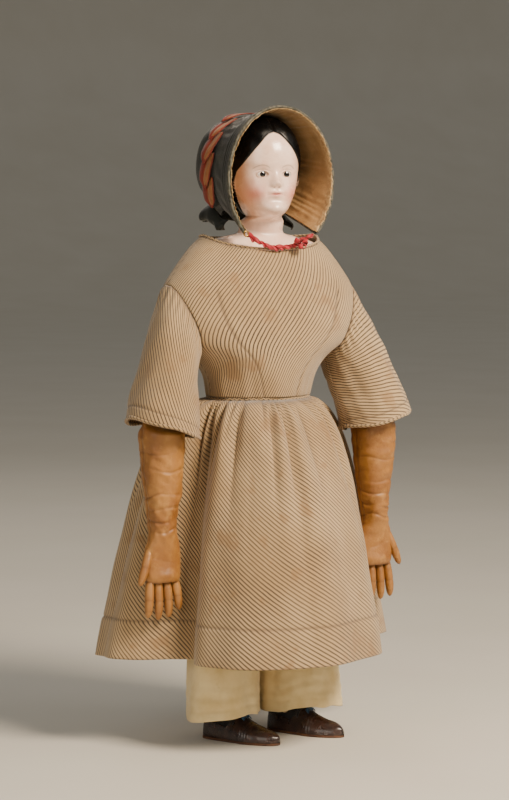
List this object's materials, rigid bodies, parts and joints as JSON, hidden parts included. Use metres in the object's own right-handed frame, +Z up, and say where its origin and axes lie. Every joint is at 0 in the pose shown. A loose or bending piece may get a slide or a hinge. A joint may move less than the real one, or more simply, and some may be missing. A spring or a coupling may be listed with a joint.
{
  "type": "papier-mache doll",
  "caption": "Standing lady doll: hollow papier-mache shoulder head, stuffed cloth body with leather arms, striped dress, pantalettes, shoes and lift-off bonnet; arms, hips and legs turn.",
  "frame": {"origin": "on the floor under the middle of the doll, at the centre of its bounding box", "axes": "+Z up, the doll faces -Y, its left hand is toward +X"},
  "size_m": [0.3926, 0.3307, 0.76],
  "materials": {
    "painted_papier_mache": "varnished paint",
    "eye_glass": "polished",
    "body_cotton": "plain weave",
    "white_cotton": "plain weave",
    "striped_cotton": "printed stripe",
    "red_ribbon": "satin",
    "ring_brass": "worn",
    "trim_ribbon": "faded silk",
    "lining_silk": "faded silk",
    "bonnet_silk": "worn silk",
    "sole_leather": "raw edge",
    "shoe_leather": "polished",
    "shoe_cloth": "plain weave",
    "lace_cord": "cord",
    "blue_ribbon": "silk",
    "arm_leather": "aged kid"
  },
  "bodies": {
    "trunk": {"shoulder_head": "painted_papier_mache", "right_glass_eye": "eye_glass", "left_glass_eye": "eye_glass", "torso_bag": "body_cotton", "dress_bodice": "striped_cotton", "dress_skirt": "striped_cotton", "neck_piping": "striped_cotton", "waist_piping": "striped_cotton", "bonnet_tie": "red_ribbon", "tie_bow": "red_ribbon"},
    "bonnet": {"bonnet_brim": "bonnet_silk", "bonnet_lining": "lining_silk", "bonnet_binding": "bonnet_silk", "bonnet_crown": "bonnet_silk", "bonnet_curtain": "bonnet_silk", "bonnet_ribbon": "trim_ribbon", "tie_ring": "ring_brass"},
    "right_arm": {"right_upper_arm": "body_cotton", "right_sleeve": "striped_cotton", "right_sleeve_binding": "striped_cotton"},
    "right_forearm": {"right_leather_arm": "arm_leather", "right_thumb": "arm_leather", "right_index_finger": "arm_leather", "right_middle_finger": "arm_leather", "right_ring_finger": "arm_leather", "right_little_finger": "arm_leather"},
    "left_arm": {"left_upper_arm": "body_cotton", "left_sleeve": "striped_cotton", "left_sleeve_binding": "striped_cotton"},
    "left_forearm": {"left_leather_arm": "arm_leather", "left_thumb": "arm_leather", "left_index_finger": "arm_leather", "left_middle_finger": "arm_leather", "left_ring_finger": "arm_leather", "left_little_finger": "arm_leather"},
    "hips": {"hip_bag": "body_cotton"},
    "right_leg": {"right_leg_bag": "body_cotton", "right_pantalette": "white_cotton", "right_pantalette_tape": "white_cotton", "right_shoe_sole": "sole_leather", "right_shoe_quarter": "shoe_cloth", "right_shoe_vamp": "shoe_leather", "right_shoe_lace": "lace_cord", "right_shoe_ribbon": "blue_ribbon"},
    "left_leg": {"left_leg_bag": "body_cotton", "left_pantalette": "white_cotton", "left_pantalette_tape": "white_cotton", "left_shoe_sole": "sole_leather", "left_shoe_quarter": "shoe_cloth", "left_shoe_vamp": "shoe_leather", "left_shoe_lace": "lace_cord", "left_shoe_ribbon": "blue_ribbon"}
  },
  "joints": [
    {"name": "bonnet_lift", "type": "slide", "parent": "trunk", "child": "bonnet", "axis": [0, 0.6402, 0.7682], "range_m": [0, 0.22]},
    {"name": "right_shoulder", "type": "hinge", "parent": "trunk", "child": "right_arm", "pos_m": [-0.10881, 0, 0.506], "axis": [-0.9336, 0, -0.3584], "range_deg": [0, 110]},
    {"name": "left_shoulder", "type": "hinge", "parent": "trunk", "child": "left_arm", "pos_m": [0.10881, 0, 0.506], "axis": [-0.9336, 0, 0.3584], "range_deg": [0, 110]},
    {"name": "right_elbow", "type": "hinge", "parent": "right_arm", "child": "right_forearm", "pos_m": [-0.14755, -0.028, 0.39576], "axis": [-1, 0, 0], "range_deg": [0, 35]},
    {"name": "left_elbow", "type": "hinge", "parent": "left_arm", "child": "left_forearm", "pos_m": [0.14755, -0.028, 0.39576], "axis": [-1, 0, 0], "range_deg": [0, 35]},
    {"name": "hip_fold", "type": "hinge", "parent": "trunk", "child": "hips", "pos_m": [0, 0, 0.366], "axis": [-1, 0, 0], "range_deg": [0, 75], "deforming": ["dress_skirt"]},
    {"name": "right_hip", "type": "hinge", "parent": "hips", "child": "right_leg", "pos_m": [-0.0455, 0, 0.317], "axis": [-1, 0, 0], "range_deg": [-15, 20]},
    {"name": "left_hip", "type": "hinge", "parent": "hips", "child": "left_leg", "pos_m": [0.0455, 0, 0.317], "axis": [-1, 0, 0], "range_deg": [-15, 20]}
  ]
}
